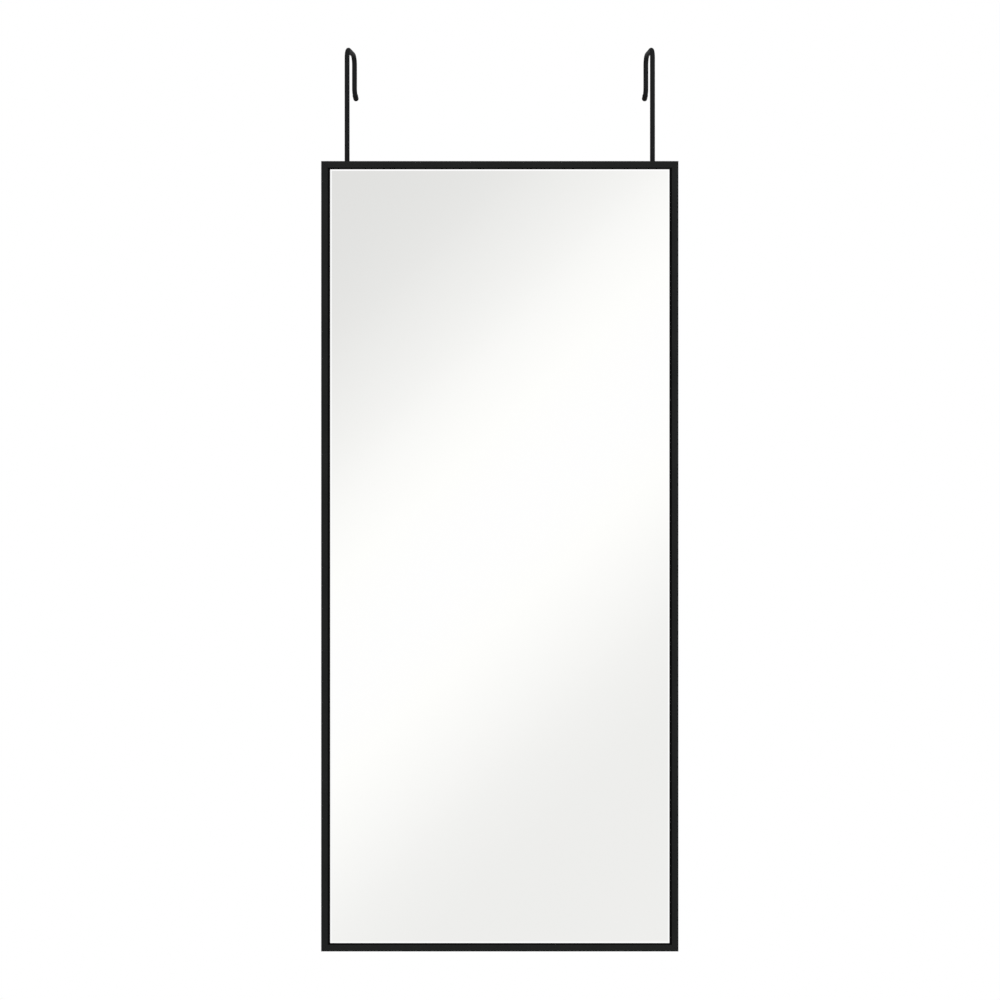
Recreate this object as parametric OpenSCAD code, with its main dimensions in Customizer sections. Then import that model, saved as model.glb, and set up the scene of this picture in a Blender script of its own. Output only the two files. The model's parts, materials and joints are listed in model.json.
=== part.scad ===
// Over-the-door mirror: a tall glass in a slim mitred metal frame, hung on two turning rod hooks.
// Millimetres. X runs to the viewer's right, Y from the mirror's face into the door, Z up.
// The origin is the middle of the door's top edge, in the plane of the door's front face.

/* [Frame] */
// Height over the outside of the frame
frame_h = 1000; // [600:5:1400]
// Width over the outside of the frame
frame_w = 452; // [320:1:700]
// Width of the front lip that holds the glass in
lip_w = 8.4; // [7:0.1:9.5]
// Thickness of the front lip and of the outer wall
rail_wall = 1.4; // [1.2:0.1:1.8]
// Thickness of the other walls of the rear box
box_wall = 1.2; // [1:0.1:1.6]
// Width over the outside of the rear box
box_w = 11; // [10.6:0.1:14]
// Clear depth inside the rear box
box_room = 11.4; // [10.4:0.1:16]
// Rounding of the rails' long outer edges
edge_r = 0.5; // [0.2:0.1:0.8]
// Gap between two rails across a mitre
mitre_gap = 0.1; // [0.05:0.05:0.4]

/* [Glass and backing] */
// Thickness of the mirror glass
glass_t = 4; // [3:0.5:6]
// Width of the glass's ground bevel that shows inside the gasket
bevel_show = 2.2; // [1:0.1:15]
// How much thinner the glass is at its edge than inside the bevel
bevel_drop = 1; // [0.5:0.1:2]
// Room between the glass's edge and the rails' outer wall
edge_room = 1; // [0.6:0.1:1.5]
// Thickness of the safety film behind the glass
film_t = 0.2; // [0.1:0.05:0.5]
// Thickness of the foam sheet
foam_t = 2; // [1:0.5:4]
// Thickness of the backboard
board_t = 3; // [2:0.5:5]
// Thickness of the gasket between the lip and the glass
gasket_t = 0.6; // [0.4:0.1:1.5]
// Width of gasket that shows inside the stiles' lips
stile_gasket_show = 2.7; // [1:0.1:3]
// Width of gasket that shows inside the top and bottom rails' lips
rail_gasket_show = 1.6; // [1:0.1:3]
// How far the gasket's bead stands forward beside the lip
bead_rise = 0.5; // [0.2:0.1:1]
// Length of a setting block under the glass
setting_block_l = 40; // [20:1:80]

/* [Hooks] */
// Diameter of the hook rod
rod_d = 6.35; // [5:0.05:7.5]
// Thickest door that the hooks go over
door_t = 40; // [30:0.5:60]
// Room behind the thickest door
door_room = 1; // [0:0.5:5]
// Height of the door's top edge above the frame
hook_rise = 142.5; // [80:0.5:220]
// Straight length of a hook's tail behind the door
tail_l = 38; // [25:0.5:80]
// Distance of a hook's rod from the frame's side
hook_inset = 31.7; // [29:0.1:60]
// Radius of the two top bends, at the rod's middle
bend_r = 12; // [8:0.5:18]
// Radius of the bend where the tail flares out, at the rod's middle
flare_r = 10; // [7:0.5:20]
// Angle that the tail flares out from the door
flare_angle = 60; // [20:1:80]
// Straight length after the flare's bend, which the cap covers
flare_l = 7; // [6:0.5:20]
// How far the left hook stands turned towards the right one
left_hook_turn = 6.7; // [0:0.1:30]
// How far the right hook stands turned towards the left one
right_hook_turn = 5.6; // [0:0.1:30]
// Diameter of the threaded lower end
stud_d = 5; // [3:0.5:5]
// Length of thread left below the lock nut
stud_end = 1.5; // [0.5:0.5:4]
// How much the rod's end is turned down on its radius for the cap
cap_seat = 0.1; // [0.05:0.05:0.3]
// How far the cap's wall stands out from the rod
cap_wall = 0.4; // [0.4:0.1:2]
// Thickness of the cap's closed end
cap_end = 2.2; // [1.8:0.1:4]

/* [Bushes, nuts and screws] */
// Wall of the bush round the rod
bush_wall = 0.8; // [0.5:0.1:0.9]
// Length of the bush below the rail's outer face
bush_l = 5.4; // [3:0.1:6]
// Diameter of the bush's flange
flange_d = 9; // [8.6:0.1:12]
// Thickness of the bush's flange
flange_t = 0.6; // [0.4:0.1:2]
// Outer diameter of the washer
washer_d = 10; // [9:0.5:11]
// Thickness of the washer
washer_t = 1; // [0.6:0.1:1.6]
// Width across the flats of the lock nut
nut_af = 8; // [7.5:0.5:9.5]
// Height of the lock nut
nut_h = 5; // [4:0.5:7]
// Height of the round collar at the lock nut's lower end
nut_collar_h = 1.4; // [1:0.1:2]
// Diameter of that collar
nut_collar_d = 7.4; // [7:0.1:7.5]
// Diameter of the corner screws
screw_d = 4; // [3:0.5:4.5]
// Diameter of the screws' countersunk heads
screw_head_d = 7.2; // [6.5:0.1:7.8]
// Length of the screws from the rail's rear face
screw_l = 8; // [6:0.5:10]
// Distance of the corner screws on each side of a hook's place
screw_step = 14; // [12:0.5:15]
// Length of a corner key past its last screw
key_end = 8; // [5:0.5:15]

/* [Door bumpers] */
// Diameter of a bumper
bumper_d = 9.5; // [6:0.5:10]
// Thickness of a bumper
bumper_t = 2; // [1:0.5:5]
// Distance of a bumper from the frame's top or bottom
bumper_inset = 72; // [66:1:200]

/* [Fits] */
// Clearance between a corner key and the rail round it
key_fit = 0.15; // [0.05:0.05:0.3]
// Clearance round a fixed insert such as a bush or screw
snug_fit = 0.05; // [0.02:0.01:0.1]
// Radial clearance of a turning rod in its bore
running_fit = 0.05; // [0.02:0.01:0.1]
// Gap between a turning face and a fixed one
face_gap = 0.15; // [0.1:0.05:0.3]

/* [Hidden] */
$fn = 48;

// The object's two hands, as the sign of X
LEFT = -1;
RIGHT = 1;

// Depths behind the frame's front face
glass_front = rail_wall + gasket_t;
glass_back = glass_front + glass_t;
film_back = glass_back + film_t;
foam_back = film_back + foam_t;
channel_back = foam_back + board_t;
box_front = channel_back + box_wall;
box_back = box_front + box_room;
box_mid_depth = (box_front + box_back) / 2;
frame_d = box_back + box_wall;

// Distances inwards from the frame's outer face
box_inner = box_w - box_wall;
box_mid = (rail_wall + box_inner) / 2;
glass_edge = rail_wall + edge_room;
gasket_outer = rail_wall + key_fit;
stile_gasket_inner = lip_w + stile_gasket_show;
rail_gasket_inner = lip_w + rail_gasket_show;

// Places in the object's own frame
frame_front = -(frame_d + bumper_t);
frame_top = -hook_rise;
frame_bottom = frame_top - frame_h;
frame_mid = (frame_top + frame_bottom) / 2;
pane_w = frame_w - 2 * glass_edge;
pane_h = frame_h - 2 * glass_edge;

// Hooks
rod_r = rod_d / 2;
stud_r = stud_d / 2;
hook_x = frame_w / 2 - hook_inset;
rod_y = frame_front + box_mid_depth;
leg_step = door_t + door_room + rod_r - rod_y;
bend_z = rod_r - bend_r;
shoulder_z = frame_top - box_inner + face_gap;
washer_z = frame_top - box_w - washer_t;
nut_z = washer_z - face_gap - nut_h;
stud_z = nut_z - stud_end;
bush_r = rod_r + running_fit + bush_wall;
washer_hole_r = stud_r + face_gap;
cap_r = rod_r + cap_wall;
cap_l = flare_l + cap_end;
cap_round = 0.7 * cap_r;
seat_r = rod_r - cap_seat;
seat_root = 0.5;

// Corner keys and screws
key_l = hook_inset + screw_step + key_end;
screw_places = [hook_inset - screw_step, hook_inset + screw_step];
screw_sink = 0.1;
recess_l = screw_head_d / 2;
recess_w = 0.9;
recess_h = 1.3;

// A cut reaches this far past the face that it opens
over = 1;

// A corner stands for the side of the frame that starts there and runs clockwise, seen from the front
function is_left(corner) = corner == "bottom_left" || corner == "top_left";
function is_top(corner) = corner == "top_left" || corner == "top_right";
function corner_x(corner) = is_left(corner) ? -frame_w / 2 : frame_w / 2;
function corner_z(corner) = is_top(corner) ? frame_top : frame_bottom;
function corner_turn(corner) = is_left(corner) ? (is_top(corner) ? 90 : 0) : (is_top(corner) ? 180 : 270);
function is_stile(corner) = is_left(corner) != is_top(corner);
function side_l(corner) = is_stile(corner) ? frame_h : frame_w;
function gasket_inner(corner) = is_stile(corner) ? stile_gasket_inner : rail_gasket_inner;
function next_gasket_inner(corner) = is_stile(corner) ? rail_gasket_inner : stile_gasket_inner;
function hook_turn(hand) = hand == LEFT ? left_hook_turn : right_hook_turn;

// Puts a shape on the side of the frame that a corner stands for:
// the shape's X points inwards, its Y backwards from the front face, its Z along the side.
module on_side(corner) {
    translate([corner_x(corner), frame_front, corner_z(corner)])
        rotate([0, corner_turn(corner), 0])
            children();
}

// Turns a shape whose Z is its axis so that it points out of the frame's rear face.
module facing_back(inwards, along) {
    translate([inwards, frame_d, along]) rotate([-90, 0, 0]) children();
}

// Puts a shape on the upright axis of a hook's rod, with Z = 0 at the frame's top.
module at_rod(hand) {
    translate([hand * hook_x, rod_y, frame_top]) children();
}

// Puts a shape in a hook's own plane: X from the front leg to the tail, Z = 0 at the door's top.
module in_hook_plane(hand) {
    translate([hand * hook_x, rod_y, 0]) rotate([0, 0, 90 + hand * hook_turn(hand)]) children();
}

// A solid of a section that lies in X and Y, cut at both ends along a mitre: a line of
// [inwards, along] points from the frame's outer corner, which runs on at 45 degrees outside it.
module mitred(length, mitre) {
    half_gap = mitre_gap / sqrt(2);
    line = concat([[-over, -over]], mitre);
    intersection() {
        linear_extrude(length) children();
        translate([0, frame_d + over, 0]) rotate([90, 0, 0]) linear_extrude(frame_d + 2 * over) polygon(concat(
            [for (i = [0 : len(line) - 1]) [line[i][0], half_gap + line[i][1]]],
            [for (i = [len(line) - 1 : -1 : 0]) [line[i][0], length - half_gap - line[i][1]]]
        ));
    }
}

// What rounds the corner at a place takes away; turn 0 is for a corner at the low end of X and Y.
module rounding_off(place, turn, r) {
    translate(place) rotate(turn) difference() {
        translate([-over, -over]) square(r + over);
        translate([r, r]) circle(r);
    }
}

module rail_section() {
    difference() {
        union() {
            square([lip_w, rail_wall]);
            square([rail_wall, frame_d]);
            translate([0, channel_back]) square([box_w, frame_d - channel_back]);
        }
        translate([rail_wall, box_front]) square([box_inner - rail_wall, box_room]);
        rounding_off([0, 0], 0, edge_r);
        rounding_off([lip_w, 0], 90, edge_r);
        rounding_off([box_w, frame_d], 180, edge_r);
        rounding_off([0, frame_d], 270, edge_r);
    }
}

// The room for a countersunk screw, from the frame's rear face forwards.
module screw_room() {
    shank_r = screw_d / 2 + snug_fit;
    head_r = screw_head_d / 2 + snug_fit;
    translate([0, 0, -screw_l - snug_fit]) cylinder(r = shank_r, h = screw_l + snug_fit + over);
    translate([0, 0, shank_r - head_r - screw_sink])
        cylinder(r1 = shank_r, r2 = head_r, h = head_r - shank_r);
    translate([0, 0, -screw_sink]) cylinder(r = head_r, h = screw_sink + over);
}

// The stepped room for a bush, a rod and its threaded end, down from the frame's top.
module rod_room() {
    translate([0, 0, -bush_l - face_gap]) cylinder(r = bush_r + snug_fit, h = bush_l + face_gap + over);
    translate([0, 0, -box_inner]) cylinder(r = rod_r + running_fit, h = box_inner);
    translate([0, 0, -box_w - over]) cylinder(r = stud_r + running_fit, h = box_w);
}

module rail(corner) {
    length = side_l(corner);
    reach = box_w + over;
    on_side(corner) difference() {
        mitred(length, [[reach, reach]]) rail_section();
        for (place = screw_places) {
            facing_back(box_mid, place) screw_room();
            facing_back(box_mid, length - place) screw_room();
        }
    }
}

module top_rail() {
    color([0.08, 0.08, 0.08]) difference() {
        rail("top_left");
        at_rod(LEFT) rod_room();
        at_rod(RIGHT) rod_room();
    }
}

module bottom_rail() {
    color([0.08, 0.08, 0.08]) rail("bottom_right");
}

module left_stile() {
    color([0.09, 0.09, 0.09]) rail("bottom_left");
}

module right_stile() {
    color([0.09, 0.09, 0.09]) rail("top_right");
}

// An angle block that fills the rear boxes of two rails at their corner.
module corner_key_block() {
    start = rail_wall + key_fit;
    leg_w = box_inner - rail_wall - 2 * key_fit;
    translate([start, box_front + key_fit, start]) {
        cube([leg_w, box_room - 2 * key_fit, key_l - start]);
        cube([key_l - start, box_room - 2 * key_fit, leg_w]);
    }
}

module corner_key(corner) {
    color([0.62, 0.63, 0.65]) on_side(corner) difference() {
        corner_key_block();
        for (place = screw_places) {
            facing_back(box_mid, place) screw_room();
            facing_back(place, box_mid) screw_room();
        }
    }
}

// The two upper keys are bored, so that each also carries a hook.
module bored_corner_key(corner, hand) {
    difference() {
        corner_key(corner);
        at_rod(hand) rod_room();
    }
}

module screw() {
    shank_r = screw_d / 2;
    head_r = screw_head_d / 2;
    head_h = head_r - shank_r;
    color([0.2, 0.2, 0.21]) difference() {
        union() {
            translate([0, 0, -screw_l]) cylinder(r = shank_r, h = screw_l - screw_sink - head_h);
            translate([0, 0, -screw_sink - head_h]) cylinder(r1 = shank_r, r2 = head_r, h = head_h);
        }
        for (turn = [0, 90]) {
            rotate(turn) translate([-recess_l / 2, -recess_w / 2, -screw_sink - recess_h])
                cube([recess_l, recess_w, recess_h + over]);
        }
    }
}

module corner_screws(corner) {
    on_side(corner) for (place = screw_places) {
        facing_back(box_mid, place) screw();
        facing_back(place, box_mid) screw();
    }
}

// A flat strip behind the lip, with a bead that shows inside it and a back that follows the bevel.
module gasket_section(inner) {
    bead_outer = lip_w + snug_fit;
    bead_front = rail_wall - bead_rise;
    slope = bevel_drop / (inner + bevel_show - glass_edge);
    difference() {
        polygon([
            [gasket_outer, rail_wall],
            [bead_outer, rail_wall],
            [bead_outer, bead_front],
            [inner, bead_front],
            [inner, glass_front - snug_fit + slope * bevel_show],
            [glass_edge, glass_front - snug_fit + bevel_drop],
            [gasket_outer, glass_front - snug_fit + bevel_drop]
        ]);
        rounding_off([inner, bead_front], 90, min(bead_rise, (inner - lip_w) / 3));
    }
}

// A strip's mitre runs at 45 degrees under the lips, then to where two strips' inner edges meet.
module gasket(corner) {
    inner = gasket_inner(corner);
    along = next_gasket_inner(corner);
    steepness = (along - lip_w) / (inner - lip_w);
    mitre = [[lip_w, lip_w], [inner + over, along + over * steepness]];
    color([0.02, 0.02, 0.02]) on_side(corner) mitred(side_l(corner), mitre) gasket_section(inner);
}

// The glass's outline across its width or height, from the bevelled front to the silvered back.
module pane_section(size, inner) {
    bevel_w = inner + bevel_show - glass_edge;
    polygon([
        [-size / 2, glass_front + bevel_drop],
        [bevel_w - size / 2, glass_front],
        [size / 2 - bevel_w, glass_front],
        [size / 2, glass_front + bevel_drop],
        [size / 2, glass_back],
        [-size / 2, glass_back]
    ]);
}

module mirror_glass() {
    color([0.8, 0.84, 0.86]) translate([0, frame_front, frame_mid]) intersection() {
        linear_extrude(pane_h, center = true) pane_section(pane_w, stile_gasket_inner);
        rotate([0, -90, 0]) linear_extrude(pane_w, center = true) pane_section(pane_h, rail_gasket_inner);
    }
}

// A flat sheet as large as the glass, between two depths.
module sheet(front, back) {
    translate([-pane_w / 2, frame_front + front, frame_mid - pane_h / 2])
        cube([pane_w, back - front, pane_h]);
}

module safety_film() {
    color([0.75, 0.78, 0.82]) sheet(glass_back, film_back);
}

module foam_sheet() {
    color([0.95, 0.95, 0.95]) sheet(film_back, foam_back);
}

module backboard() {
    color([0.42, 0.3, 0.2]) sheet(foam_back, channel_back);
}

module setting_block(hand) {
    front = glass_front + bevel_drop + snug_fit;
    color([0.1, 0.1, 0.1])
        translate([hand * pane_w / 4 - setting_block_l / 2, frame_front + front, frame_bottom + rail_wall])
            cube([setting_block_l, channel_back - front - snug_fit, edge_room]);
}

// A soft round pad on the rear face, for each end of each stile.
module bumper(hand, end) {
    from_end = end == "top" ? frame_top - bumper_inset : frame_bottom + bumper_inset;
    edge = min(bumper_t, bumper_d / 2) / 3;
    color([0.12, 0.12, 0.12])
        translate([hand * (frame_w / 2 - box_w / 2), -bumper_t, from_end]) rotate([-90, 0, 0])
            rotate_extrude() difference() {
                square([bumper_d / 2, bumper_t]);
                rounding_off([bumper_d / 2, bumper_t], 180, edge);
            }
}

// A bend of the rod round a centre in the hook's plane, from one angle through another.
module rod_bend(centre, r, from, through) {
    translate([centre[0], 0, centre[1]]) rotate([90, 0, 0]) rotate(from)
        rotate_extrude(angle = through) translate([r, 0]) circle(rod_r);
}

// Puts a shape whose Z runs along the flared end of the tail at that end's start.
module at_flare() {
    place_x = leg_step + flare_r * (1 - cos(flare_angle));
    place_z = -tail_l - flare_r * sin(flare_angle);
    translate([place_x, 0, place_z]) rotate([0, 180 - flare_angle, 0]) children();
}

module hook(hand) {
    color([0.07, 0.07, 0.07]) in_hook_plane(hand) {
        translate([0, 0, stud_z]) cylinder(r = stud_r, h = shoulder_z - stud_z);
        translate([0, 0, shoulder_z]) cylinder(r = rod_r, h = bend_z - shoulder_z);
        rod_bend([bend_r, bend_z], bend_r, 90, 90);
        translate([bend_r, 0, rod_r]) rotate([0, 90, 0]) cylinder(r = rod_r, h = leg_step - 2 * bend_r);
        rod_bend([leg_step - bend_r, bend_z], bend_r, 0, 90);
        translate([leg_step, 0, -tail_l]) cylinder(r = rod_r, h = bend_z + tail_l);
        rod_bend([leg_step + flare_r, -tail_l], flare_r, 180, flare_angle);
        at_flare() translate([0, 0, -seat_root]) cylinder(r = seat_r, h = seat_root + flare_l);
    }
}

module tip_cap(hand) {
    color([0.01, 0.01, 0.01]) in_hook_plane(hand) at_flare() rotate_extrude() difference() {
        translate([0, snug_fit]) square([cap_r, cap_l - snug_fit]);
        translate([0, -over]) square([seat_r + snug_fit, flare_l + over]);
        rounding_off([cap_r, cap_l], 180, cap_round);
    }
}

module hook_bush(hand) {
    color([0.05, 0.05, 0.05]) at_rod(hand) difference() {
        union() {
            translate([0, 0, -bush_l]) cylinder(r = bush_r, h = bush_l);
            cylinder(d = flange_d, h = flange_t);
        }
        translate([0, 0, -bush_l - over])
            cylinder(r = rod_r + running_fit, h = bush_l + flange_t + 2 * over);
    }
}

module washer(hand) {
    color([0.72, 0.72, 0.74]) at_rod(hand) translate([0, 0, washer_z - frame_top]) difference() {
        cylinder(d = washer_d, h = washer_t);
        translate([0, 0, -over]) cylinder(r = washer_hole_r, h = washer_t + 2 * over);
    }
}

// A hexagon nut with a round collar at its lower end.
module lock_nut(hand) {
    hex_r = nut_af / 2 / cos(30);
    color([0.7, 0.7, 0.72]) in_hook_plane(hand) translate([0, 0, nut_z]) difference() {
        union() {
            translate([0, 0, nut_collar_h]) cylinder(r = hex_r, h = nut_h - nut_collar_h, $fn = 6);
            cylinder(d = nut_collar_d, h = nut_collar_h);
        }
        translate([0, 0, -over]) cylinder(r = stud_r + snug_fit, h = nut_h + 2 * over);
    }
}

top_rail();
bottom_rail();
left_stile();
right_stile();
bored_corner_key("top_left", LEFT);  // top_left_corner_key
bored_corner_key("top_right", RIGHT);  // top_right_corner_key
corner_key("bottom_left");  // bottom_left_corner_key
corner_key("bottom_right");  // bottom_right_corner_key
corner_screws("top_left");  // top_left_corner_screws
corner_screws("top_right");  // top_right_corner_screws
corner_screws("bottom_left");  // bottom_left_corner_screws
corner_screws("bottom_right");  // bottom_right_corner_screws
gasket("top_left");  // top_gasket
gasket("bottom_right");  // bottom_gasket
gasket("bottom_left");  // left_gasket
gasket("top_right");  // right_gasket
mirror_glass();
safety_film();
foam_sheet();
backboard();
setting_block(LEFT);  // left_setting_block
setting_block(RIGHT);  // right_setting_block
bumper(LEFT, "top");  // top_left_bumper
bumper(RIGHT, "top");  // top_right_bumper
bumper(LEFT, "bottom");  // bottom_left_bumper
bumper(RIGHT, "bottom");  // bottom_right_bumper
hook(LEFT);  // left_hook
hook(RIGHT);  // right_hook
tip_cap(LEFT);  // left_tip_cap
tip_cap(RIGHT);  // right_tip_cap
hook_bush(LEFT);  // left_hook_bush
hook_bush(RIGHT);  // right_hook_bush
washer(LEFT);  // left_washer
washer(RIGHT);  // right_washer
lock_nut(LEFT);  // left_lock_nut
lock_nut(RIGHT);  // right_lock_nut
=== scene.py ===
import json
import math
import bmesh
import bpy
from mathutils import Matrix, Vector


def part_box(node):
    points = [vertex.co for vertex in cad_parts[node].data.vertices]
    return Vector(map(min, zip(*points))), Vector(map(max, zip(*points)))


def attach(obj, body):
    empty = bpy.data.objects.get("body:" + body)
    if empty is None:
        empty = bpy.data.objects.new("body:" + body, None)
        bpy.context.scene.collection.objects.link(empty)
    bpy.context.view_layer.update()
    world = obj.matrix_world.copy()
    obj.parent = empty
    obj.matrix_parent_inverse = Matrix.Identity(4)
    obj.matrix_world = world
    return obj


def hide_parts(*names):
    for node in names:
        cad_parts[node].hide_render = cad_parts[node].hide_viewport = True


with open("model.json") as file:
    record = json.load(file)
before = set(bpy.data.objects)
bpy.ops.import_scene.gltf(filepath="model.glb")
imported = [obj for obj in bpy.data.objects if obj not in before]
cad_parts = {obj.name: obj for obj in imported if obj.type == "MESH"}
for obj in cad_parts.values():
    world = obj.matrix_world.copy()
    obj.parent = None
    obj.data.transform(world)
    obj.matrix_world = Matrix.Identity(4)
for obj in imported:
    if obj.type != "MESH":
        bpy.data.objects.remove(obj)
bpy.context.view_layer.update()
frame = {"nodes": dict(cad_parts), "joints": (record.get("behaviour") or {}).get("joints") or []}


# ---------------------------------------- Camera
# The photograph is taken square on to the glass from about three metres. The frame's height in it
# gives the scale, and its place there gives where the lens looks.
PHOTO_SIZE = 1000
FRAME_TOP_PX = 161.0
FRAME_BOTTOM_PX = 951.55
FRAME_MIDDLE_PX = 499.79
CAMERA_DISTANCE = 3.0
SENSOR_WIDTH = 36
FAR_CLIP = 50

frame_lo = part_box("left_stile")[0]
frame_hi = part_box("right_stile")[1]
frame_lo.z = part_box("bottom_rail")[0].z
frame_hi.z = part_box("top_rail")[1].z
pixel = (frame_hi.z - frame_lo.z) / (FRAME_BOTTOM_PX - FRAME_TOP_PX)
camera_place = Vector((
    (PHOTO_SIZE / 2 - FRAME_MIDDLE_PX) * pixel,
    frame_lo.y - CAMERA_DISTANCE,
    frame_hi.z - (PHOTO_SIZE / 2 - FRAME_TOP_PX) * pixel,
))
camera = bpy.data.objects.new("camera", bpy.data.cameras.new("camera"))
camera.data.sensor_width = SENSOR_WIDTH
camera.data.lens = SENSOR_WIDTH * CAMERA_DISTANCE / (PHOTO_SIZE * pixel)
camera.data.clip_end = FAR_CLIP
camera.location = camera_place
camera.rotation_euler = (math.radians(90), 0, 0)
bpy.context.scene.collection.objects.link(camera)
bpy.context.scene.camera = camera


# ---------------------------------------- Rails and stiles
# Four lengths of one aluminium extrusion: a front lip and an outer wall round the glass, and a hollow
# box behind it. They are sawn at 45 degrees, drilled and countersunk at the back for the corner
# screws, and powder coated in satin black with a fine orange-peel skin.
MM = 0.001
LIP_WIDTH = 8.4 * MM
LIP_WALL = 1.4 * MM
BOX_WALL = 1.2 * MM
BOX_WIDTH = 11.0 * MM
EDGE_ROUNDING = 0.5 * MM
MITRE_GAP = 0.1 * MM
SCREW_HOLE_RADIUS = 2.05 * MM
SCREW_HEAD_ROOM = 3.65 * MM
SCREW_SINK = 0.1 * MM
SCREW_STEP = 14 * MM
BUSH_HOLE_RADIUS = 4.075 * MM
STUD_HOLE_RADIUS = 2.55 * MM
OVER = 1.0 * MM
SAME_PLACE = 1e-7
SHARP = math.radians(30)

rail_depth = frame_hi.y - frame_lo.y
channel_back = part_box("backboard")[1].y - frame_lo.y
box_front = channel_back + BOX_WALL
box_back = rail_depth - BOX_WALL
box_inner = BOX_WIDTH - BOX_WALL
box_middle = (LIP_WALL + box_inner) / 2
hook_axes = {joint["child"]: Vector(joint["pos_m"]) for joint in frame["joints"]}
hook_inset = hook_axes["left_hook"].x - frame_lo.x
screw_places = (hook_inset - SCREW_STEP, hook_inset + SCREW_STEP)
frame_width = frame_hi.x - frame_lo.x
frame_height = frame_hi.z - frame_lo.z

# The sides run clockwise, seen from the front, each from its own corner of the frame.
SIDE_NODES = {"left": "left_stile", "top": "top_rail", "right": "right_stile", "bottom": "bottom_rail"}
SIDE_LENGTHS = {"left": frame_height, "top": frame_width, "right": frame_height, "bottom": frame_width}
SIDE_STARTS = {
    "left": (frame_lo.x, frame_lo.z, 0),
    "top": (frame_lo.x, frame_hi.z, 90),
    "right": (frame_hi.x, frame_hi.z, 180),
    "bottom": (frame_hi.x, frame_lo.z, 270),
}


def on_side(side):
    """Turns X inwards, Y backwards from the front face and Z along one side of the frame."""
    x, z, turn = SIDE_STARTS[side]
    return Matrix.Translation((x, frame_lo.y, z)) @ Matrix.Rotation(math.radians(turn), 4, "Y")


def new_verts(made):
    """The points among what an operator made; the next two pick its edges and its faces."""
    return [v for v in made if isinstance(v, bmesh.types.BMVert)]


def new_edges(made):
    return [e for e in made if isinstance(e, bmesh.types.BMEdge)]


def new_faces(made):
    return [f for f in made if isinstance(f, bmesh.types.BMFace)]


def extruded(rings, length):
    """A bar along Z. The first ring of corners is its outline, and any more are hollows in it."""
    bm = bmesh.new()
    for corners in rings:
        ring = [bm.verts.new((x, y, 0)) for x, y in corners]
        for pair in zip(ring, ring[1:] + ring[:1]):
            bm.edges.new(pair)
    section = bmesh.ops.triangle_fill(bm, use_beauty=True, use_dissolve=False, edges=bm.edges[:])
    grown = bmesh.ops.extrude_face_region(bm, geom=new_faces(section["geom"]), use_keep_orig=True)
    bmesh.ops.translate(bm, vec=(0, 0, length), verts=new_verts(grown["geom"]))
    bmesh.ops.recalc_face_normals(bm, faces=bm.faces[:])
    return bm


def round_long_edges(bm, corners, radius):
    """Rounds a bar's long edges that stand at these places of its section."""
    chosen = []
    for edge in bm.edges:
        low, high = (vert.co.xy for vert in edge.verts)
        at_corner = any((low - Vector(corner)).length < SAME_PLACE for corner in corners)
        if at_corner and (low - high).length < SAME_PLACE:
            chosen.append(edge)
    bmesh.ops.bevel(bm, geom=chosen, offset=radius, offset_type="OFFSET", segments=4, profile=0.5,
                    affect="EDGES", material=-1)


def mitre(bm, length):
    """Saws both ends of a bar along Z at 45 degrees, longest at its outer side."""
    half_gap = MITRE_GAP / math.sqrt(2)
    for end, away in ((half_gap, -1), (length - half_gap, 1)):
        cut = bmesh.ops.bisect_plane(
            bm, geom=bm.verts[:] + bm.edges[:] + bm.faces[:], dist=SAME_PLACE,
            plane_co=(0, 0, end), plane_no=(1, 0, away), clear_outer=True,
        )
        rim = new_edges(cut["geom_cut"])
        bmesh.ops.triangle_fill(bm, use_beauty=True, use_dissolve=False, edges=rim)
    bmesh.ops.recalc_face_normals(bm, faces=bm.faces[:])


def turned(corners, steps=48):
    """A solid turned about Z from an outline of (radius, height, rounding) corners."""
    bm = bmesh.new()
    ring = [bm.verts.new((radius, 0, height)) for radius, height, _ in corners]
    bm.faces.new(ring)
    for vert, (_, _, rounding) in zip(ring, corners):
        if rounding > 0:
            bmesh.ops.bevel(bm, geom=[vert], offset=rounding, offset_type="OFFSET", segments=5,
                            profile=0.5, affect="VERTICES", material=-1)
    bmesh.ops.delete(bm, geom=bm.faces[:], context="FACES_ONLY")
    on_axis = [e for e in bm.edges if all(v.co.x < SAME_PLACE for v in e.verts)]
    bmesh.ops.delete(bm, geom=on_axis, context="EDGES")
    bmesh.ops.spin(bm, geom=bm.verts[:] + bm.edges[:], cent=(0, 0, 0), axis=(0, 0, 1),
                   angle=math.tau, steps=steps, use_merge=True)
    bmesh.ops.remove_doubles(bm, verts=bm.verts[:], dist=SAME_PLACE)
    bmesh.ops.recalc_face_normals(bm, faces=bm.faces[:])
    return bm


def moved(bm, matrix):
    """The same mesh, put in its place."""
    bmesh.ops.transform(bm, matrix=matrix, verts=bm.verts[:])
    return bm


def together(meshes):
    """Several meshes as one."""
    whole = bmesh.new()
    for bm in meshes:
        held = bpy.data.meshes.new("held")
        bm.to_mesh(held)
        bm.free()
        whole.from_mesh(held)
        bpy.data.meshes.remove(held)
    return whole


def combined(first, second, operation):
    """Two solids as their UNION, their DIFFERENCE or their INTERSECT."""
    pair = []
    for bm in (first, second):
        obj = bpy.data.objects.new("blank", bpy.data.meshes.new("blank"))
        bm.to_mesh(obj.data)
        bm.free()
        bpy.context.scene.collection.objects.link(obj)
        pair.append(obj)
    work, tool = pair
    step = work.modifiers.new("combine", "BOOLEAN")
    step.operation = operation
    step.solver = "EXACT"
    step.object = tool
    result = bmesh.new()
    result.from_object(work, bpy.context.evaluated_depsgraph_get())
    for obj in pair:
        mesh = obj.data
        bpy.data.objects.remove(obj)
        bpy.data.meshes.remove(mesh)
    bmesh.ops.remove_doubles(result, verts=result.verts[:], dist=SAME_PLACE)
    return result


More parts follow.
